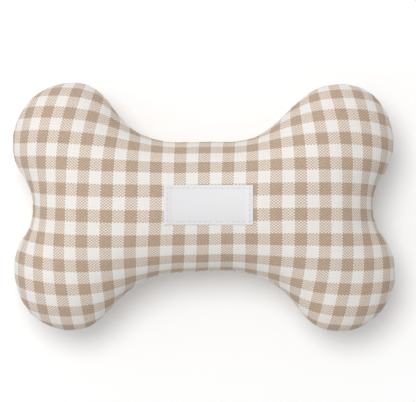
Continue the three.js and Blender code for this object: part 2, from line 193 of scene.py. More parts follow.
def solve_skin(points, triangles, fixed):
    """Height and slope of a stretched skin under even pressure, held at zero on its rim."""
    a, b, c = (points[triangles[:, i]] for i in range(3))
    twice = np.cross(b - a, c - a)
    hats = np.stack([np.c_[p[:, 1] - q[:, 1], q[:, 0] - p[:, 0]] / twice[:, None]
                     for p, q in ((b, c), (c, a), (a, b))], 1)
    area = np.abs(twice) / 2
    count = len(points)
    load = spread(np.repeat(area / 3, 3), triangles, count)
    load[fixed] = 0

    def stiffness(field):
        slope = np.einsum("tij,ti->tj", hats, field[triangles])
        pull = np.einsum("tij,tj->ti", hats, slope) * area[:, None]
        out = spread(pull, triangles, count)
        out[fixed] = 0
        return out

    height = np.zeros(count)
    rest, step = load.copy(), load.copy()
    size = rest @ rest
    enough = size * SKIN_LEFT_OVER_SHARE
    while size > enough:
        pushed = stiffness(step)
        length = size / (step @ pushed)
        height += length * step
        rest -= length * pushed
        step = rest + (rest @ rest / size) * step
        size = rest @ rest
    slope = np.einsum("tij,ti->tj", hats, height[triangles])
    weight = spread(np.repeat(area, 3), triangles, count)
    slopes = np.stack([spread(np.repeat(slope[:, i] * area, 3), triangles, count) / weight
                       for i in (0, 1)], 1)
    slopes[points == 0] = 0
    return np.maximum(height, 0), slopes


def least(function, start, steps):
    """A local minimum of a function that also gives its gradient, by limited-memory BFGS."""
    x = start
    value, gradient = function(x)
    history = []
    for _ in range(steps):
        step = -gradient
        shares = []
        for s, y in reversed(history):
            shares.append((s @ step) / (y @ s))
            step = step - shares[-1] * y
        if history:
            s, y = history[-1]
            step = step * (s @ y) / (y @ y)
        else:
            step = step * SEARCH_START
        for (s, y), share in zip(history, reversed(shares)):
            step = step + (share - (y @ step) / (y @ s)) * s
        length = 1.0
        while True:
            tried = x + length * step
            new_value, new_gradient = function(tried)
            enough = value + SEARCH_FALL_SHARE * length * (step @ gradient)
            if new_value <= enough or length < SEARCH_SHORTEST:
                break
            length /= 2
        s, y = tried - x, new_gradient - gradient
        if s @ y > SEARCH_CURVE:
            history = (history + [(s, y)])[-SEARCH_KEPT:]
        x, value, gradient = tried, new_value, new_gradient
    return x


def flatten(points, triangles, on_x, on_y):
    """Lays the quarter of the skin flat with its threads kept as long as they can be.

    Points on the Y axis keep no place across, and points on the X axis none up. A triangle
    costs by how far its warp and weft are from their length and from a right angle."""
    a, b, c = (points[triangles[:, i]] for i in range(3))
    along, other = b - a, c - a
    length = np.linalg.norm(along, axis=1)
    x_axis = along / length[:, None]
    normal = np.cross(along, other)
    twice = np.linalg.norm(normal, axis=1)
    y_axis = np.cross(normal / twice[:, None], x_axis)
    solid = np.stack([np.stack([length, 0 * length], 1),
                      np.stack([(other * x_axis).sum(1), (other * y_axis).sum(1)], 1)], 2)
    weight = twice / twice.sum()
    free = np.ones((len(points), 2), bool)
    free[on_y, 0] = False
    free[on_x, 1] = False
    start = points[:, :2] * FLATTEN_START
    count = len(points)

    def cost(values):
        laid = start.copy()
        laid[free] = values
        flat = np.stack([laid[triangles[:, i]] - laid[triangles[:, 0]] for i in (1, 2)], 2)
        size = flat[:, 0, 0] * flat[:, 1, 1] - flat[:, 0, 1] * flat[:, 1, 0]
        if (size <= 0).any():
            return FOLD_COST, np.zeros_like(values)
        inverse = np.linalg.inv(flat)
        stretch = solid @ inverse
        warp, weft = stretch[:, :, 0], stretch[:, :, 1]
        warp_length, weft_length = (np.linalg.norm(v, axis=1) for v in (warp, weft))
        shear = (warp * weft).sum(1)
        total = (warp_length - 1) ** 2 + (weft_length - 1) ** 2 + SHEAR_SHARE * shear**2
        push = [2 * ((own_length - 1) / own_length)[:, None] * own
                + 2 * SHEAR_SHARE * shear[:, None] * across
                for own, own_length, across in ((warp, warp_length, weft),
                                                (weft, weft_length, warp))]
        push = np.stack(push, 2) * weight[:, None, None]
        pull = -np.swapaxes(stretch, 1, 2) @ push @ np.swapaxes(inverse, 1, 2)
        corners = np.stack([-(pull[:, :, 0] + pull[:, :, 1]), pull[:, :, 0], pull[:, :, 1]], 1)
        gradient = np.stack([spread(corners[:, :, i], triangles, count) for i in (0, 1)], 1)
        return (weight * total).sum(), gradient[free]

    laid = start.copy()
    laid[free] = least(cost, start[free], FLATTEN_STEPS)
    return laid


def finer(coarse, factor, axis):
    """Values between the given ones along an axis, on straight lines."""
    old = np.arange(coarse.shape[axis])
    new = np.arange((coarse.shape[axis] - 1) * factor + 1) / factor
    return np.apply_along_axis(lambda line: np.interp(new, old, line), axis, coarse)


def mirrored(quarter, across, up):
    """All round from a quarter: across and up say how each value's sign turns over each axis."""
    across, up = np.array(across), np.array(up)
    back = quarter[::-1]
    return np.concatenate([quarter, back[1:] * across, quarter[1:] * across * up,
                           back[1:-1] * up])


def laid_cloth(flat):
    """Gingham repeats across and up the cloth, once the cloth lies a little askew."""
    place = flat / LAY_SPAN
    shifts = [sum(size * place[..., 0] ** i * place[..., 1] ** j for (i, j), size in lay.items())
              for lay in (LAY_ACROSS, LAY_UP)]
    return (flat + np.stack(shifts, -1)) / GINGHAM_REPEAT


flat_points, grid_index, flat_triangles = quarter_grid(AROUND, DEEP)
skin_height, skin_slopes = solve_skin(flat_points, flat_triangles, grid_index[:, 0])
rise = FULLNESS_SHARE * np.sqrt(2 * skin_height)
SEAM_HEIGHT = rise.max() + CLEARANCE / 2 - REST_FLAT_DEPTH

dome = np.c_[flat_points, rise].reshape(AROUND + 1, DEEP + 1, 3)
normals = np.c_[-skin_slopes, rise / FULLNESS_SHARE**2]
normals = unit(normals).reshape(dome.shape)
depth_run = np.cumsum(np.linalg.norm(np.diff(dome, axis=1), axis=2), axis=1)
depth_run = np.c_[np.zeros(AROUND + 1), depth_run][:, :, None]


def cloth_flat():
    """The quarter of the cover's cloth, laid flat, in millimetres."""
    around, deep = FLATTEN_STRIDES
    coarse = dome[::around, ::deep]
    index, triangles = grid_triangles(coarse.shape)
    laid = flatten(coarse.reshape(-1, 3), triangles, np.r_[index[0], index[:, -1]], index[-1])
    laid = laid.reshape(*coarse.shape[:2], 2)
    return finer(finer(laid, around, 0), deep, 1)


whole_dome = mirrored(dome, (-1, 1, 1), (1, -1, 1))
whole_normals = mirrored(normals, (-1, 1, 1), (1, -1, 1))
whole_depth = mirrored(depth_run, (1,), (1,))[:, :, 0]
panel_flat = mirrored(cloth_flat(), (-1, 1), (1, -1))
whole_cloth = laid_cloth(panel_flat)
_, quarter_run = quarter_outline(AROUND)
STATIONS = 4 * AROUND
rim_run = np.arange(STATIONS)[:, None] * quarter_run / AROUND


# Meshes

WELD_DISTANCE = 0.001
ABOVE_ALL = 1000.0


def added(name, data):
    """A new object in the scene, from its data."""
    made = bpy.data.objects.new(name, data)
    bpy.context.scene.collection.objects.link(made)
    return made


def mesh_object(name, points, faces):
    """An object from points in millimetres."""
    mesh = bpy.data.meshes.new(name)
    mesh.from_pydata([tuple(p) for p in np.asarray(points) * MM], [], faces)
    mesh.shade_smooth()
    return added(name, mesh)


def band_faces(rings):
    """Four-cornered faces from each closed ring of point numbers to the next ring."""
    return cells(np.c_[rings, rings[:, :1]])[:, [0, 3, 2, 1]].tolist()


def set_uv(made, values):
    """Stores each point's place on its cloth or thread as the object's UV layer."""
    layer = made.data.uv_layers.new(name="cloth")
    corners = np.empty(len(made.data.loops), np.int64)
    made.data.loops.foreach_get("vertex_index", corners)
    layer.data.foreach_set("uv", np.asarray(values, np.float32)[corners].ravel())


def weld(made):
    """Joins corners that meet, and turns every face outwards."""
    mesh = bmesh.new()
    mesh.from_mesh(made.data)
    bmesh.ops.remove_doubles(mesh, verts=mesh.verts, dist=WELD_DISTANCE * MM)
    bmesh.ops.recalc_face_normals(mesh, faces=mesh.faces)
    mesh.to_mesh(made.data)
    mesh.free()


def points_of(mesh):
    """A mesh's points, in millimetres."""
    places = np.empty(3 * len(mesh.vertices), np.float32)
    mesh.vertices.foreach_get("co", places)
    return places.reshape(-1, 3) / MM


def nudge(points):
    """How far the outline's unevenness moves points, across and up."""
    shift = np.zeros((*points.shape[:-1], 2))
    for x, y, *move in NUDGES:
        away = np.hypot(points[..., 0] - x, points[..., 1] - y) / NUDGE_REACH
        shift += np.exp(-away**2 / 2)[..., None] * move
    return shift


def nudged(points):
    """Points with the outline's unevenness."""
    points = np.array(points, float)
    points[..., :2] += nudge(points)
    return points


# Label, a woven strip with its two ends turned under, sewn down all round

LABEL_LENGTH = 45.6
LABEL_WIDTH = 20.6
LABEL_HALF = np.array((LABEL_LENGTH, LABEL_WIDTH)) / 2
LABEL_CENTRE = (2.6, 0.6)
LABEL_THICKNESS = 0.26
LABEL_GAP = 0.12
LABEL_TURN_UNDER = 2.8
LABEL_FOLD_RADIUS = 0.14

# Size of the label's cells, and how many points its fold and its turned-under end have
LABEL_STEP = 0.35
LABEL_FOLD_POINTS = 7
LABEL_END_POINTS = 12

# Where the top starts to settle, short of the turned-under end, and over which run
LABEL_SETTLE_START = 0.9
LABEL_SETTLE_RUN = 2.2

# The stitches' line, the pits at their holes, and how the line and the edges dip
LABEL_STITCH_INSET = 1.6
LABEL_STITCH_PITCH = 2.8
LABEL_PIT_DEPTH = 0.22
LABEL_PIT_RADIUS = 0.34
LABEL_SEWN_DIP = 0.08
LABEL_SEWN_REACH = 0.8
LABEL_EDGE_DIP = 0.12
LABEL_EDGE_REACH = 0.3

# How far beyond its edges the label holds the puckers down
LABEL_HOLD_REACH = 6.0


def eased(share):
    """A share from 0 to 1, with a soft start and end."""
    return share**2 * (3 - 2 * share)


def beyond_label(points):
    """0 where the sewn label holds the cloth flat, 1 a little way out from its edges."""
    outside = np.maximum(np.abs(points - LABEL_CENTRE) - LABEL_HALF, 0)
    share = np.hypot(outside[..., 0], outside[..., 1]) / LABEL_HOLD_REACH
    return eased(np.clip(share, 0, 1))


def cover(name, sign, puckers):
    """One cotton panel: the dome, its allowance turned in along the seam, and its inner side.

    The front panel's sign is 1 and the back panel's is -1."""
    half_gap = CLEARANCE / 2
    stitch = np.cos(2 * math.pi * rim_run / SEAM_STITCH)
    draw = SEAM_DRAW * np.exp(-((whole_depth / SEAM_DRAW_REACH) ** 2))
    draw = draw + STITCH_DIMPLE * stitch * np.exp(-((whole_depth / STITCH_DIMPLE_REACH) ** 2))
    turn = 2 * math.pi * np.arange(STATIONS)[:, None] / STATIONS
    waves = sum(size * np.sin(count * turn + sign * phase) for count, phase, size in SEAM_WAVES)
    draw = draw - waves * np.exp(-((whole_depth / SEAM_WAVE_REACH) ** 2))
    draw = draw - puckers * beyond_label(whole_dome[..., :2])
    outer = whole_dome - whole_normals * draw[:, :, None]
    inner = outer - whole_normals * COVER_THICKNESS
    rim, inward = outer[:, 0], -whole_normals[:, 0]
    levels = [outer[:, j] + (0, 0, half_gap) for j in range(DEEP, -1, -1)]
    steps = np.arange(1, ALLOWANCE_STEPS + 1) / ALLOWANCE_STEPS
    turned = [rim + inward * (SEAM_ALLOWANCE * share) + (0, 0, half_gap) for share in steps]
    levels += turned
    levels += [level + (0, 0, COVER_THICKNESS) for level in turned[::-1]]
    levels += [inner[:, j] + (0, 0, half_gap + COVER_THICKNESS * (j == 0))
               for j in range(DEEP + 1)]
    cloth = whole_cloth + nudge(whole_dome) / GINGHAM_REPEAT
    cloth = cloth + np.array(BACK_CLOTH_SHIFT) * (sign < 0)
    flats = cloth.swapaxes(0, 1)
    flats = [*flats[::-1], *[flats[0]] * (2 * len(turned)), *flats]
    points = nudged(np.concatenate(levels))
    points[:, 2] = np.maximum(SEAM_HEIGHT + sign * points[:, 2], 0)
    faces = [(a, d, c, b) if sign > 0 else (b, c, d, a)
             for a, b, c, d in band_faces(np.arange(len(points)).reshape(-1, STATIONS))]
    made = mesh_object(name, points, faces)
    set_uv(made, np.concatenate(flats))
    weld(made)
    return made


def top_of(made):
    """A function that gives the height of an object's top over a spot, in millimetres."""
    mesh = bmesh.new()
    mesh.from_mesh(made.data)
    tree = BVHTree.FromBMesh(mesh)
    mesh.free()

    def height(x, y):
        start = Vector((x * MM, y * MM, ABOVE_ALL * MM))
        return tree.ray_cast(start, Vector((0, 0, -1)))[0].z / MM

    return height


def needle_holes():
    """Evenly spaced places round the label, seen from its middle."""
    corners = np.array([(-1, -1), (1, -1), (1, 1), (-1, 1), (-1, -1)])
    corners = corners * (LABEL_HALF - LABEL_STITCH_INSET)
    holes = []
    for start, end in zip(corners[:-1], corners[1:]):
        count = round(np.hypot(*(end - start)) / LABEL_STITCH_PITCH)
        holes += [start + (end - start) * i / count for i in range(count)]
    return np.array(holes)


def label_path():
    """The label's run seen from its long side: points along it, and the way out from each."""
    half, radius = LABEL_LENGTH / 2, LABEL_FOLD_RADIUS
    low = LABEL_GAP + LABEL_THICKNESS / 2
    high = low + 2 * radius
    turn = np.linspace(-math.pi / 2, math.pi / 2, LABEL_FOLD_POINTS)
    tucked = np.linspace(half - LABEL_TURN_UNDER, half - radius, LABEL_END_POINTS)[:-1]
    flap = np.c_[tucked, low + 0 * tucked]
    fold = np.c_[half - radius + radius * np.cos(turn), low + radius + radius * np.sin(turn)]
    top = np.linspace(half - radius, -half + radius, round(LABEL_LENGTH / LABEL_STEP))[1:-1]
    beyond = half - np.abs(top) - LABEL_TURN_UNDER + LABEL_SETTLE_START
    settle = eased(np.clip(beyond / LABEL_SETTLE_RUN, 0, 1)) * (high - low)
    upper = np.c_[top, high - settle]
    path = np.vstack([flap, fold, upper, fold[::-1] * (-1, 1), flap[::-1] * (-1, 1)])
    direction = unit(np.gradient(path, axis=0))
    return path, np.c_[direction[:, 1], -direction[:, 0]]


def label_piece(height):
    """The label as a closed strip that follows the cloth, with a pit at every needle hole."""
    path, outward = label_path()
    rows = np.linspace(-LABEL_WIDTH / 2, LABEL_WIDTH / 2, round(LABEL_WIDTH / LABEL_STEP) + 1)
    holes = needle_holes()
    points, pits, places = [], [], []
    for side in (0.5, -0.5):
        for (x, z), up in zip(path + outward * LABEL_THICKNESS * side, outward[:, 1] > 0.5):
            for y in rows:
                edge = LABEL_WIDTH / 2 - abs(y)
                near = np.hypot(holes[:, 0] - x, holes[:, 1] - y).min()
                off_line = (edge - LABEL_STITCH_INSET) / LABEL_SEWN_REACH
                pit = math.exp(-((near / LABEL_PIT_RADIUS) ** 2)) * up
                sewn = math.exp(-(off_line**2)) * up
                spot = x + LABEL_CENTRE[0], y + LABEL_CENTRE[1]
                lift = z - LABEL_PIT_DEPTH * pit - LABEL_SEWN_DIP * sewn
                if edge < LABEL_EDGE_REACH:
                    lift -= LABEL_EDGE_DIP * side * (1 - edge / LABEL_EDGE_REACH)
                points.append((*spot, height(*spot) + lift))
                pits.append(pit)
                places.append((x, y))
    outside, inside = index = np.arange(len(points)).reshape(2, len(path), len(rows))
    border = np.concatenate([index[:, :-1, 0], index[:, -1, :-1], index[:, :0:-1, -1],
                             index[:, 0, :0:-1]], axis=1)
    faces = cells(outside)[:, [0, 3, 2, 1]].tolist() + cells(inside).tolist()
    made = mesh_object("label_sheet", points, faces + band_faces(border))
    set_uv(made, places)
    # Each point's share of a pit, where the satin gets painted shade
    layer = made.data.attributes.new("pit", "FLOAT", "POINT")
    layer.data.foreach_set("value", np.asarray(pits, np.float32))
    return made


# Threads

THREAD_SIDES = 8
THREAD_END_SHARE = 0.55


def tubes(name, runs, radius, up=(0, 0, 1)):
    """Round threads along runs of points, each closed at both ends, which are thinner."""
    points, faces, places = [], [], []
    turns = np.arange(THREAD_SIDES) * 2 * math.pi / THREAD_SIDES
    for run in runs:
        run = np.asarray(run, float)
        direction = unit(np.gradient(run, axis=0))
        side = unit(np.cross(direction, up))
        other = np.cross(side, direction)
        travelled = np.r_[0, np.cumsum(np.linalg.norm(np.diff(run, axis=0), axis=1))]
        ends = np.ones(len(run))
        ends[[0, -1]] = THREAD_END_SHARE
        first = len(points)
        for i, middle in enumerate(run):
            for turn in turns:
                spoke = side[i] * math.cos(turn) + other[i] * math.sin(turn)
                points.append(middle + spoke * radius * ends[i])
                places.append((travelled[i], turn / (2 * math.pi)))
        rings = np.arange(first, len(points)).reshape(-1, THREAD_SIDES)
        faces += [*band_faces(rings), rings[0, ::-1].tolist(), rings[-1].tolist()]
    made = mesh_object(name, points, faces)
    set_uv(made, places)
    return made


# A stitch's share of the way to the next hole, and its rise there, from -1 at its ends to 1
STITCH_SHAPE = np.array([(0.0, -1.0), (0.06, -0.25), (0.16, 0.5), (0.32, 0.9), (0.5, 1.0),
                         (0.68, 0.9), (0.84, 0.5), (0.94, -0.25), (1.0, -1.0)])

# Each thread's radius, how much it rises and sinks, and the share of the way to the next hole
# that it leaves free at either end; for the closing, the share of its pitch that a bar slants
LABEL_STITCH_RADIUS, LABEL_STITCH_RISE, LABEL_STITCH_MARGIN = 0.11, 0.06, 0.04
SEAM_STITCH_RADIUS, SEAM_STITCH_RISE, SEAM_STITCH_MARGIN = 0.2, 0.12, 0.03
CLOSING_RADIUS, CLOSING_RISE, CLOSING_LEAN_SHARE = 0.22, 0.35, 0.5
LABEL_STITCH_SINK = 0.02
CLOSING_SINK = 0.5


def label_stitches(height):
    """Short stitches from each needle hole to the next, pulled down at the holes."""
    holes = needle_holes()
    runs = []
    for start, end in zip(holes, np.roll(holes, -1, axis=0)):
        run = []
        for along, rise_share in STITCH_SHAPE:
            share = LABEL_STITCH_MARGIN + (1 - 2 * LABEL_STITCH_MARGIN) * along
            x, y = start + (end - start) * share + LABEL_CENTRE
            level = height(x, y) - LABEL_STITCH_SINK
            run.append((x, y, level + LABEL_STITCH_RISE * rise_share))
        runs.append(run)
    return tubes("label_stitches", runs, LABEL_STITCH_RADIUS)


def rim_at(distance):
    """Where the seam's edge runs a distance along it, and the way in from it, seen flat."""
    stations = distance / quarter_run * AROUND
    known = np.arange(STATIONS + 1)
    place, way = (np.stack([np.interp(stations, known, np.r_[line, line[0]])
                            for line in ring[:, 0, :2].T], -1)
                  for ring in (whole_dome, -whole_normals))
    return place, unit(way)


# The closing's length and stitches, and where the machine's threads lie beside the cloth
CLOSING_LENGTH = 52.0
CLOSING_PITCH = 4.0
CLOSING_REACH = 1.3
THREAD_RADIUS = 0.25
THREAD_INSET = COVER_THICKNESS + 2 * CLEARANCE + 2 * THREAD_RADIUS
THREAD_LEVEL = CLEARANCE / 2 + COVER_THICKNESS + CLEARANCE + THREAD_RADIUS


def seam_stitches(name, sign):
    """One thread of the lockstitch, on the inner side of its panel's allowance."""
    start = 3 * quarter_run + CLOSING_LENGTH / 2
    end = 7 * quarter_run - CLOSING_LENGTH / 2
    count = round((end - start) / SEAM_STITCH)
    share, rise_share = STITCH_SHAPE.T
    share = SEAM_STITCH_MARGIN + (1 - 2 * SEAM_STITCH_MARGIN) * share
    height = SEAM_HEIGHT + sign * (THREAD_LEVEL + SEAM_STITCH_RISE * rise_share)
    runs = []
    for i in range(count):
        along = start + (end - start) * (i + share) / count
        place, way = rim_at(along % (4 * quarter_run))
        runs.append(np.c_[place + way * THREAD_INSET, height])
    return tubes(name, [nudged(run) for run in runs], SEAM_STITCH_RADIUS)


def closing_stitches():
    """Hand stitches over the last stretch of seam: one slanting bar from side to side each."""
    count = round(CLOSING_LENGTH / CLOSING_PITCH)
    share, rise_share = STITCH_SHAPE.T
    bulge = SEAM_DRAW - CLOSING_SINK - CLOSING_RISE * rise_share
    runs = []
    for i in range(count):
        place_share = (i + 1 / 2 + CLOSING_LEAN_SHARE * (share - 1 / 2)) / count - 1 / 2
        place, way = rim_at(3 * quarter_run + CLOSING_LENGTH * place_share)
        side = CLOSING_REACH * (1 - 2 * share) * (1 if i % 2 else -1)
        runs.append(np.c_[place + way * bulge[:, None], SEAM_HEIGHT + side])
    return tubes("closing_stitches", [nudged(run) for run in runs], CLOSING_RADIUS, up=(1, 0, 0))


# Stuffing and squeaker

FILL_VOXEL = 1.6
FILL_SMOOTH_FACTOR = 0.5
FILL_SMOOTH_STEPS = 3

# Lumps of the wads: how wide they are and how deep the hollows between them
FILL_LUMPS = ((9.0, 0.55), (4.0, 0.3))


def fibre_wad(name, node):
    """A wad of fibre in its node's place, a little lumpy and nudged as the outline is."""
    copy = added(name, bpy.data.objects[node].data.copy())
    copy.data.materials.clear()
    remesh = copy.modifiers.new("remesh", "REMESH")
    remesh.mode = "VOXEL"
    remesh.voxel_size = FILL_VOXEL * MM
    smooth = copy.modifiers.new("smooth", "SMOOTH")
    smooth.factor = FILL_SMOOTH_FACTOR
    smooth.iterations = FILL_SMOOTH_STEPS
    bpy.context.view_layer.update()
    ready = copy.evaluated_get(bpy.context.evaluated_depsgraph_get())
    shape = bpy.data.meshes.new_from_object(ready)
    copy.modifiers.clear()
    copy.data = shape
    for vertex in shape.vertices:
        lump = sum(depth * (noise.noise(vertex.co / (size * MM)) + 1) / 2
                   for size, depth in FILL_LUMPS)
        vertex.co -= vertex.normal * lump * MM
    places = nudged(points_of(shape)) * MM
    shape.vertices.foreach_set("co", places.astype(np.float32).ravel())
    shape.shade_smooth()
    return copy


# Bulb, its neck and the line that its mould leaves
BULB_RADIUS = 21.0
BULB_HALF_HEIGHT = 10.0
BULB_WALL = 1.0
NECK_RADIUS = 6.0
NECK_BORE = 5.0
NECK_REACH = 30.0
NECK_FILLET = 1.6
MOULD_LINE = 0.22
MOULD_LINE_WIDTH = 0.4

# Squeaker's grid: points round it and how they crowd towards the mould's line, rings of the bulb
# and of the neck beyond its root, and halvings that find the surface along each ray
BULB_COLUMNS = 112
BULB_CROWD = 0.4
BULB_RINGS = 60
NECK_RINGS = 22
NECK_ROOT = 15.0
HALVINGS = 40


def bulb_depth(place, shrink, neck):
    """How far outside the bulb's surface a place is, with its neck blended in."""
    disc = BULB_RADIUS - BULB_HALF_HEIGHT
    around = np.maximum(np.hypot(place[..., 0], place[..., 1]) - disc, 0)
    body = np.hypot(around, place[..., 2]) - BULB_HALF_HEIGHT + shrink
    tube = np.hypot(place[..., 1], place[..., 2]) - neck
    share = np.maximum(NECK_FILLET - np.abs(body - tube), 0) / NECK_FILLET
    return np.minimum(body, tube) - share**2 * NECK_FILLET / 4


def bulb_rings(shrink, neck):
    """Rings round the neck's axis, from the far side of the bulb to the end of its neck."""
    t = np.arange(BULB_COLUMNS) * 2 * math.pi / BULB_COLUMNS
    turn = t - BULB_CROWD * np.sin(2 * t)
    along_neck = np.linspace(NECK_ROOT, NECK_REACH, NECK_RINGS)
    lean = np.concatenate([np.linspace(math.pi, math.atan2(neck, NECK_ROOT), BULB_RINGS)[:-1],
                           np.arctan2(neck, along_neck)])
    lean, turn = np.meshgrid(lean, turn, indexing="ij")
    ray = np.stack([np.cos(lean), np.sin(lean) * np.cos(turn), np.sin(lean) * np.sin(turn)], -1)
    near, far = 0 * lean, 2 * NECK_REACH + 0 * lean
    for _ in range(HALVINGS):
        middle = (near + far) / 2
        inside = bulb_depth(ray * middle[..., None], shrink, neck) < 0
        near, far = np.where(inside, middle, near), np.where(inside, far, middle)
    place = ray * near[..., None]
    place[-1, :, 0] = NECK_REACH
    return place


def squeaker_shell():
    """The blown bulb with its neck, hollow, with the line its mould leaves round it."""
    outer = bulb_rings(0, NECK_RADIUS)
    line = MOULD_LINE * np.exp(-((outer[..., 2] / MOULD_LINE_WIDTH) ** 2))
    line = line * (outer[..., 0] < NECK_REACH - BULB_WALL)
    flat_way = outer[..., :2] / np.maximum(np.hypot(outer[..., 0], outer[..., 1]), 1)[..., None]
    neck_side = (outer[..., 0] > BULB_RADIUS - BULB_WALL)[..., None]
    straight = np.stack([0 * line, np.sign(outer[..., 1])], -1)
    outer[..., :2] += np.where(neck_side, straight, flat_way) * line[..., None]
    inner = bulb_rings(BULB_WALL, NECK_BORE)[::-1]
    points = np.concatenate([outer, inner]).reshape(-1, 3) + (0, 0, SEAM_HEIGHT)
    faces = band_faces(np.arange(len(points)).reshape(-1, BULB_COLUMNS))
    made = mesh_object("squeaker_shell", points, [face[::-1] for face in faces])
    weld(made)
    return made


# Cloth simulation: the sewn cover, cut flat and blown tight, gives the puckers along its seam

SIM_STRIDE = 2
SIM_FRAMES = 20
SIM_PRESSURE = 4.0
SIM_TENSION = 15.0
SIM_MASS = 0.003
SIM_JOIN_DECIMALS = 5

# Unevenness of the cut cloth: how far it goes, and over what distance
SIM_CUT_NOISE = 0.25
SIM_CUT_GRAIN = 6.0

# Steps over which the long waves are taken out, how many times that a blur reaches, and the most
# that a pucker may rise or sink
SIM_SMOOTH_STEPS = 4.0
BLUR_REACH = 3
SIM_CAP = 0.7


def smoothed(values, steps):
    """Values over the grid of stations and rings, blurred by that many steps."""
    reach = int(BLUR_REACH * steps)
    weights = np.exp(-((np.arange(-reach, reach + 1) / steps) ** 2) / 2)
    weights /= weights.sum()
    round_about = np.concatenate([values[-reach:], values, values[:reach]])
    values = np.apply_along_axis(np.convolve, 0, round_about, weights, "valid")
    edge = np.pad(values, ((0, 0), (reach, reach)), mode="reflect", reflect_type="odd")
    return np.apply_along_axis(np.convolve, 1, edge, weights, "valid")


def blown_cover():
    """How far outwards the simulated cloth lies from the plain dome, without its long waves."""
    dome_part = whole_dome[::SIM_STRIDE, ::SIM_STRIDE]
    stations, rings = dome_part.shape[:2]
    upper = dome_part.reshape(-1, 3)
    both = np.vstack([upper, upper * (1, 1, -1)])
    flat = np.vstack([panel_flat[::SIM_STRIDE, ::SIM_STRIDE].reshape(-1, 2)] * 2)
    _, first, joined = np.unique(np.round(both, SIM_JOIN_DECIMALS), axis=0, return_index=True,
                                 return_inverse=True)
    joined = joined.reshape(2, stations, rings)
    upper_faces, lower_faces = (cells(np.vstack([side, side[:1]])) for side in joined)
    faces = upper_faces.tolist() + lower_faces[:, ::-1].tolist()
    made = mesh_object("blown", both[first], faces)
    made.shape_key_add(name="sewn")
    cut = made.shape_key_add(name="cut")
    for point, (x, y), side in zip(cut.data, flat[first], both[first, 2]):
        push = noise.noise_vector(Vector((x, y, side)) / SIM_CUT_GRAIN) * SIM_CUT_NOISE
        point.co = Vector((x + push.x, y + push.y, 0)) * MM
    cut.value = 0
    cloth = made.modifiers.new("cloth", "CLOTH")
    cloth.settings.rest_shape_key = cut
    cloth.settings.use_pressure = True
    cloth.settings.uniform_pressure_force = SIM_PRESSURE
    cloth.settings.tension_stiffness = SIM_TENSION
    cloth.settings.compression_stiffness = SIM_TENSION
    cloth.settings.mass = SIM_MASS
    cloth.settings.effector_weights.gravity = 0
    cloth.point_cache.frame_start = 1
    cloth.point_cache.frame_end = SIM_FRAMES
    for step in range(1, SIM_FRAMES + 1):
        bpy.context.scene.frame_set(step)
    done = made.evaluated_get(bpy.context.evaluated_depsgraph_get())
    moved = points_of(done.to_mesh())
    bpy.data.objects.remove(made)
    bpy.context.scene.frame_set(1)
    sides = []
    for side, sign in zip(joined, (1, -1)):
        shift = (moved[side] - dome_part * (1, 1, sign)) * (1, 1, sign)
        outward = (shift * whole_normals[::SIM_STRIDE, ::SIM_STRIDE]).sum(-1)
        short = outward - smoothed(outward, SIM_SMOOTH_STEPS)
        short = SIM_CAP * np.tanh(short / SIM_CAP)
        around = finer(np.vstack([short, short[:1]]), SIM_STRIDE, 0)[:-1]
        sides.append(finer(around, SIM_STRIDE, 1))
    return sides


# Materials


class Nodes:
    """A new material or world, and short ways to add nodes to it."""

    def __init__(self, name, kind="materials", shader="Principled BSDF"):
        self.owner = getattr(bpy.data, kind).new(name)
        self.owner.use_nodes = True
        self.tree = self.owner.node_tree
        self.shader = self.tree.nodes[shader]

    def add(self, kind, inputs=(), **settings):
        node = self.tree.nodes.new(kind)
        for key, value in settings.items():
            setattr(node, key, value)
        for key, value in dict(inputs).items():
            self.put(node.inputs[key], value)
        return node

    def put(self, socket, value):
        if isinstance(value, bpy.types.NodeSocket):
            self.tree.links.new(value, socket)
        else:
            socket.default_value = value

    def math(self, operation, *values):
        return self.add("ShaderNodeMath", enumerate(values), operation=operation).outputs[0]

    def plus(self, base, value, share):
        """A base, with a value times a share on top."""
        return self.math("ADD", base, self.math("MULTIPLY", value, share))

    def mix(self, share, first, second):
        inputs = {"Factor": share, "A": first, "B": second}
        return self.add("ShaderNodeMix", inputs, data_type="FLOAT").outputs["Result"]

    def blend(self, share, *colours):
        node = self.add("ShaderNodeMix", {"Factor": share}, data_type="RGBA")
        for socket, colour in zip([s for s in node.inputs if s.type == "RGBA"], colours):
            self.put(socket, colour)
        return [s for s in node.outputs if s.type == "RGBA"][0]

    def noise(self, scale, detail=2.0, vector=None):
        inputs = {"Scale": scale, "Detail": detail}
        if vector is not None:
            inputs["Vector"] = vector
        return self.add("ShaderNodeTexNoise", inputs).outputs[0]

    def place(self):
        """Each spot's place on its object, in metres."""
        return self.add("ShaderNodeTexCoord").outputs["Object"]

    def cloth(self):
        """Each spot's two places on the cloth or thread, as set_uv stores them."""
        place = self.add("ShaderNodeUVMap", uv_map="cloth").outputs[0]
        return self.add("ShaderNodeSeparateXYZ", {"Vector": place}).outputs[:2]

    def shade(self, colour, height, bump, **settings):
        """The finished material: its colour, a height times a bump in mm, and more settings."""
        self.put(self.shader.inputs["Base Color"], colour)
        for key, value in settings.items():
            self.put(self.shader.inputs[key.replace("_", " ")], value)
        node = self.add("ShaderNodeBump", {"Height": height, "Distance": bump * MM})
        self.put(self.shader.inputs["Normal"], node.outputs[0])
        return self.owner


def linear(*levels):
    """A colour written as a screen shows it, 0 to 255, in Blender's linear numbers."""
    values = [v / 255 for v in levels]
    values = [v / 12.92 if v <= 0.04045 else ((v + 0.055) / 1.055) ** 2.4 for v in values]
    return (*values, 1.0)


# Yarn colours: the yarn beneath shows through a little, so each has one for either
WHITE_YARN = linear(235, 232, 228)
WHITE_OVER_TAN = linear(230, 224, 217)
TAN_YARN = linear(184, 162, 142)
TAN_OVER_WHITE = linear(197, 171, 147)
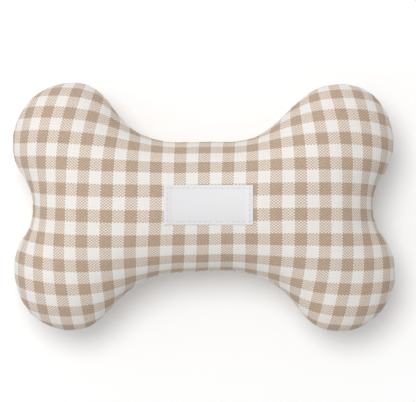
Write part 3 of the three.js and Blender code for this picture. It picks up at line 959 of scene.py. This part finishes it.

# Pairs that a noise blends, or a thread's painted shade and its own colour; and the satin's
# painted shade in its pits
SATIN = linear(222, 222, 223), linear(226, 226, 228)
SATIN_PIT_PAINTED_SHADE = linear(178, 179, 183)
WHITE_THREAD = linear(196, 197, 200), linear(236, 236, 238)
SEAM_THREAD = linear(186, 178, 164), linear(234, 228, 216)
FIBRE = linear(222, 220, 216), linear(248, 247, 245)
SOFT_PLASTIC = linear(222, 226, 227), linear(236, 238, 236)
HARD_PLASTIC = linear(232, 231, 222), linear(244, 243, 236)
BRASS = linear(196, 158, 78), linear(216, 182, 104)

# Yarn: how far it falls from its crown to its sides and its dives, and how much painted shade
# darkens it there
YARN_SIDE_FALL = 0.7
YARN_DIVE_FALL = 0.45
YARN_PAINTED_SHADE = 0.1

# How much the gingham's shade varies with the yarn that lies over, more where both are tan, from
# yarn to yarn, in clouds, from fibre to fibre, and from crossing to crossing, more in tan; and
# what keeps the seeds of the yarns of either way apart
OVER_SHADE, OVER_TAN_SHADE = 0.02, 0.32
SLUB_SHADE = 0.05
CLOUD_SCALE, CLOUD_SHADE = 55.0, 0.05
LINT_SCALE, LINT_SHADE, LINT_HEIGHT = 4200.0, 0.08, 0.3
KNOT_SHADE, KNOT_TAN_SHADE = 0.03, 0.09
UP_YARN_SEED = 500


def gingham():
    """Plain weave of white and tan yarn, in bands of equal width both ways."""
    n = Nodes("gingham_cotton")
    yarns, tans, sides, slubs = [], [], [], []
    for i, place in enumerate(n.cloth()):
        run = n.math("MULTIPLY", place, THREADS_PER_REPEAT[i])
        yarn = n.math("FLOOR", n.math("ADD", run, 0.5))
        share = n.math("DIVIDE", yarn, THREADS_PER_REPEAT[i])
        repeat = n.math("FRACT", n.math("ADD", share, 0.5))
        middle = n.math("ABSOLUTE", n.math("SUBTRACT", repeat, 0.5))
        side = n.math("MULTIPLY", n.math("SUBTRACT", run, yarn), 2)
        seed = n.math("ADD", yarn, UP_YARN_SEED * i + 0.5)
        slub = n.add("ShaderNodeTexWhiteNoise", {"W": seed}, noise_dimensions="1D")
        yarns.append(yarn)
        tans.append(n.math("LESS_THAN", middle, 0.25))
        sides.append(n.math("MULTIPLY", side, side))
        slubs.append(slub.outputs[0])
    over = n.math("FLOORED_MODULO", n.math("ADD", *yarns), 2)
    tan, beneath = n.mix(over, *tans), n.mix(over, *tans[::-1])
    across, along = n.mix(over, *sides), n.mix(over, *sides[::-1])
    hump = n.math("MULTIPLY", n.plus(1, across, -YARN_SIDE_FALL),
                  n.plus(1, along, -YARN_DIVE_FALL))
    colour = n.blend(tan, n.blend(beneath, WHITE_YARN, WHITE_OVER_TAN),
                     n.blend(beneath, TAN_OVER_WHITE, TAN_YARN))
    place = n.place()
    lint = n.noise(LINT_SCALE, 2.0, place)
    crossing = n.add("ShaderNodeCombineXYZ", {"X": yarns[0], "Y": yarns[1], "Z": 0.5})
    knot = n.add("ShaderNodeTexWhiteNoise", {"Vector": crossing.outputs[0]},
                 noise_dimensions="3D").outputs[0]
    # Painted shade: each yarn darker towards its sides and where it dives under the other yarns
    shade = n.plus(1 - YARN_PAINTED_SHADE, hump, YARN_PAINTED_SHADE)
    both_tan = n.math("MULTIPLY", tan, beneath)
    for spot, size in ((over, n.plus(OVER_SHADE, both_tan, OVER_TAN_SHADE)),
                       (n.mix(over, *slubs), SLUB_SHADE),
                       (n.noise(CLOUD_SCALE, 2.0, place), CLOUD_SHADE), (lint, LINT_SHADE),
                       (knot, n.plus(KNOT_SHADE, tan, KNOT_TAN_SHADE))):
        shade = n.plus(shade, n.math("SUBTRACT", spot, 0.5), size)
    shaded = n.add("ShaderNodeVectorMath", {0: colour, "Scale": shade}, operation="SCALE")
    return n.shade(shaded.outputs[0], n.plus(hump, lint, LINT_HEIGHT), bump=0.035,
                   Roughness=0.92, Specular_IOR_Level=0.25, Sheen_Weight=0.12,
                   Sheen_Roughness=0.5)


RIB_PITCH, RIB_HEIGHT = 0.3, 0.35
FLOAT_PITCH, FLOAT_HEIGHT = 0.42, 0.2
# How far a full pit blends the satin towards its painted shade colour
PIT_PAINTED_SHADE = 0.6


def satin():
    """Ribbon satin with fine ribs across, with painted shade in the needle pits."""
    n = Nodes("label_satin")
    along, across = n.cloth()
    rib = n.math("SINE", n.math("MULTIPLY", across, 2 * math.pi / RIB_PITCH))
    float_run = n.math("SINE", n.math("MULTIPLY", along, 2 * math.pi / FLOAT_PITCH))
    weave = n.plus(n.math("MULTIPLY", rib, RIB_HEIGHT), float_run, FLOAT_HEIGHT)
    cloud = n.noise(120.0, 3.0, n.place())
    pit = n.add("ShaderNodeAttribute", attribute_name="pit").outputs["Fac"]
    # Painted shade in the needle pits
    colour = n.blend(n.math("MULTIPLY", pit, PIT_PAINTED_SHADE), n.blend(cloud, *SATIN), SATIN_PIT_PAINTED_SHADE)
    return n.shade(colour, weave, bump=0.02, Roughness=0.5, Specular_IOR_Level=0.2,
                   Sheen_Weight=0.15, Sheen_Roughness=0.4)


PLIES = 2
PLIES_PER_MM = 1.6


def thread_material(name, colours):
    """Two-ply sewing thread: twist bump and a line of painted shade between the plies."""
    n = Nodes(name)
    along, around = n.cloth()
    twist = n.plus(n.math("MULTIPLY", along, 2 * math.pi * PLIES_PER_MM), around,
                   2 * math.pi * PLIES)
    ply = n.math("ABSOLUTE", n.math("SINE", n.math("MULTIPLY", twist, 0.5)))
    # Painted shade in the groove between the plies, the thread's own colour on their crowns
    return n.shade(n.blend(ply, *colours), ply, bump=0.06, Roughness=0.6, Sheen_Weight=0.2)


STRAND_BEND = 20.0


def fibre_material():
    """Polyester fibre fill: white, with fine strands in all directions."""
    n = Nodes("fibre_fill")
    place = n.place()
    bend = n.add("ShaderNodeTexNoise", {"Vector": place, "Scale": 60.0}).outputs["Color"]
    bent = n.add("ShaderNodeVectorMath", {0: bend, 1: [STRAND_BEND * MM] * 3, 2: place},
                 operation="MULTIPLY_ADD")
    wave = n.add("ShaderNodeTexWave", {"Vector": bent.outputs[0], "Scale": 260.0,
                                       "Distortion": 9.0, "Detail": 3.0, "Detail Scale": 2.0})
    lumps = n.noise(90.0, 3.0, place)
    shade = n.math("MULTIPLY", n.math("ADD", wave.outputs["Fac"], lumps), 0.5)
    return n.shade(n.blend(shade, *FIBRE), shade, bump=0.5, Roughness=0.95,
                   Specular_IOR_Level=0.2, Sheen_Weight=0.25)


def bulb_material():
    """Soft blown plastic: milky, with faint flow marks and scuffs."""
    n = Nodes("squeaker_soft")
    place = n.place()
    flow, grain = n.noise(45.0, 4.0, place), n.noise(900.0, 2.0, place)
    height = n.plus(n.math("MULTIPLY", flow, 0.8), grain, 0.2)
    return n.shade(n.blend(flow, *SOFT_PLASTIC), height, bump=0.08,
                   Roughness=n.plus(0.34, flow, 0.18), IOR=1.49, Subsurface_Weight=0.08)


def hard_plastic():
    """Moulded ivory plastic with fine grain."""
    n = Nodes("reed_plastic")
    place = n.place()
    grain, cloud = n.noise(1600.0, 3.0, place), n.noise(160.0, 2.0, place)
    return n.shade(n.blend(cloud, *HARD_PLASTIC), grain, bump=0.02,
                   Roughness=n.plus(0.28, grain, 0.16), IOR=1.5)


BRASS_LINES = (60.0, 4000.0, 4000.0)


def brass():
    """Rolled brass strip: lines along its length and a little dulling."""
    n = Nodes("reed_brass")
    place = n.place()
    stretched = n.add("ShaderNodeVectorMath", {0: place, 1: BRASS_LINES}, operation="MULTIPLY")
    lines, dull = n.noise(1.0, 2.0, stretched.outputs[0]), n.noise(300.0, 3.0, place)
    return n.shade(n.blend(dull, *BRASS), lines, bump=0.01, Roughness=n.plus(0.2, dull, 0.25),
                   Metallic=1.0)


# Camera, light and floor


def make_camera():
    """The photograph's camera, straight above the toy."""
    data = bpy.data.cameras.new("camera")
    camera = bpy.context.scene.camera = added("camera", data)
    view_width = PHOTO_SIZE[0] * MM_PER_PIXEL
    data.sensor_width = SENSOR_WIDTH
    data.lens = SENSOR_WIDTH * CAMERA_DISTANCE / view_width
    across = (PHOTO_SIZE[0] / 2 - PHOTO_MIDDLE[0]) * MM_PER_PIXEL
    up = (PHOTO_MIDDLE[1] - PHOTO_SIZE[1] / 2) * MM_PER_PIXEL
    camera.location = Vector((across, up, SEAM_HEIGHT + CAMERA_DISTANCE)) * MM
    data.clip_start = 0.01
    data.clip_end = 20.0


# Key light, its place and width in metres, and its strength; the sky's strength and lean; the
# background's; and the floor's colour, its own light as the camera sees it, and its reach in mm
KEY_PLACE = Vector((-0.26, 0.385, 1.6))
KEY_WIDTH = 0.80
KEY_LEVEL = 0.52
SKY_LEVEL = 0.56
SKY_LEAN = (-0.42, 0.1, 0.0)
BACKGROUND_LEVEL = 0.947
FLOOR_COLOUR = linear(241, 241, 241)
FLOOR_LIFT = 0.12
FLOOR_REACH = 4000.0
WHITE_LIGHT = (1, 1, 1, 1)


def make_light():
    """A near softbox up and to the left, and a sky that is brighter on that side."""
    data = bpy.data.lights.new("key", "AREA")
    data.shape = "DISK"
    data.size = KEY_WIDTH
    away = KEY_PLACE - Vector((0, 0, SEAM_HEIGHT * MM))
    data.energy = KEY_LEVEL * math.pi**2 * away.length**3 / away.z
    key = added("key", data)
    key.location = KEY_PLACE
    key.rotation_mode = "QUATERNION"
    key.rotation_quaternion = away.to_track_quat("Z", "Y")
    n = Nodes("studio", "worlds", "Background")
    bpy.context.scene.world = n.owner
    place = n.add("ShaderNodeTexCoord").outputs["Generated"]
    lean = n.add("ShaderNodeVectorMath", {0: place, 1: SKY_LEAN}, operation="DOT_PRODUCT")
    level = n.math("MULTIPLY_ADD", lean.outputs["Value"], SKY_LEVEL, SKY_LEVEL)
    camera_ray = n.add("ShaderNodeLightPath").outputs["Is Camera Ray"]
    n.put(n.shader.inputs["Strength"], n.mix(camera_ray, level, BACKGROUND_LEVEL))
    n.put(n.shader.inputs["Color"], WHITE_LIGHT)


def make_floor():
    """White paper, large enough for its edge never to show."""
    corners = np.array([(-1, -1, 0), (1, -1, 0), (1, 1, 0), (-1, 1, 0)]) * FLOOR_REACH
    floor = mesh_object("floor", corners, [(0, 1, 2, 3)])
    n = Nodes("floor_paper")
    camera_ray = n.add("ShaderNodeLightPath").outputs["Is Camera Ray"]
    floor.data.materials.append(n.shade(
        FLOOR_COLOUR, n.noise(900.0), bump=0.02, Roughness=0.9, Specular_IOR_Level=0.1,
        Emission_Strength=n.math("MULTIPLY", camera_ray, FLOOR_LIFT), Emission_Color=WHITE_LIGHT))


bpy.context.scene.view_settings.view_transform = "Standard"
make_camera()
make_light()
make_floor()


# The toy: its pieces, and the body that each wad of fibre rides on

FILLS = {"knob_fill_right_far": "back", "knob_fill_left_far": "back",
         "knob_fill_left_near": "back", "knob_fill_right_near": "back",
         "end_fill_right": "back", "end_fill_left": "back",
         "shank_fill_front": "front", "shank_fill_back": "back"}


def soft(piece, material, body, slot, *nodes):
    """Dresses a piece that stands for soft nodes: gives it its material, sets it on its body and
    hides those nodes.
    """
    piece.data.materials.append(material)
    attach(piece, body)
    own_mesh(piece)
    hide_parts(*nodes)


front_puckers, back_puckers = blown_cover()
cover_front = cover("cover_front", 1, front_puckers)
cover_back = cover("cover_back", -1, back_puckers)
label_sheet = label_piece(top_of(cover_front))
stitches = label_stitches(top_of(label_sheet))
needle_stitches = seam_stitches("needle_stitches", 1)
bobbin_stitches = seam_stitches("bobbin_stitches", -1)
closing = closing_stitches()
wads = {node: fibre_wad(f"wad_{node}", node) for node in FILLS}
shell = squeaker_shell()

cotton = gingham()
seam_thread = thread_material("seam_thread", SEAM_THREAD)
white_thread = thread_material("label_thread", WHITE_THREAD)
fibre = fibre_material()
plastic = hard_plastic()

soft(cover_front, cotton, "front", "cover_cotton", "front_panel")
soft(cover_back, cotton, "back", "cover_cotton", "back_panel")
soft(label_sheet, satin(), "front", "label_satin", "label")
soft(stitches, white_thread, "front", "label_thread", "label_thread")
soft(needle_stitches, seam_thread, "squeaker", "seam_thread", "needle_thread")
soft(bobbin_stitches, seam_thread, "squeaker", "seam_thread", "bobbin_thread")
soft(closing, seam_thread, "squeaker", "seam_thread", "closing_thread")
soft(shell, bulb_material(), "squeaker", "squeaker_soft", "squeaker_bulb")
for node, body in FILLS.items():
    soft(wads[node], fibre, body, "fibre_fill", node)

for node in ("reed_ferrule", "reed_bed", "reed_wedge"):
    bpy.data.objects[node].material_slots[0].material = plastic
bpy.data.objects["reed_tongue"].material_slots[0].material = brass()

rim_flat = panel_flat[:, 0]
ahead = np.roll(rim_flat, -1, axis=0)
flat_area = abs((rim_flat * ahead[:, ::-1] * (1, -1)).sum()) / 2
flat_area += np.hypot(*(ahead - rim_flat).T).sum() * SEAM_ALLOWANCE

bpy.context.scene.cycles.denoising_prefilter = "NONE"
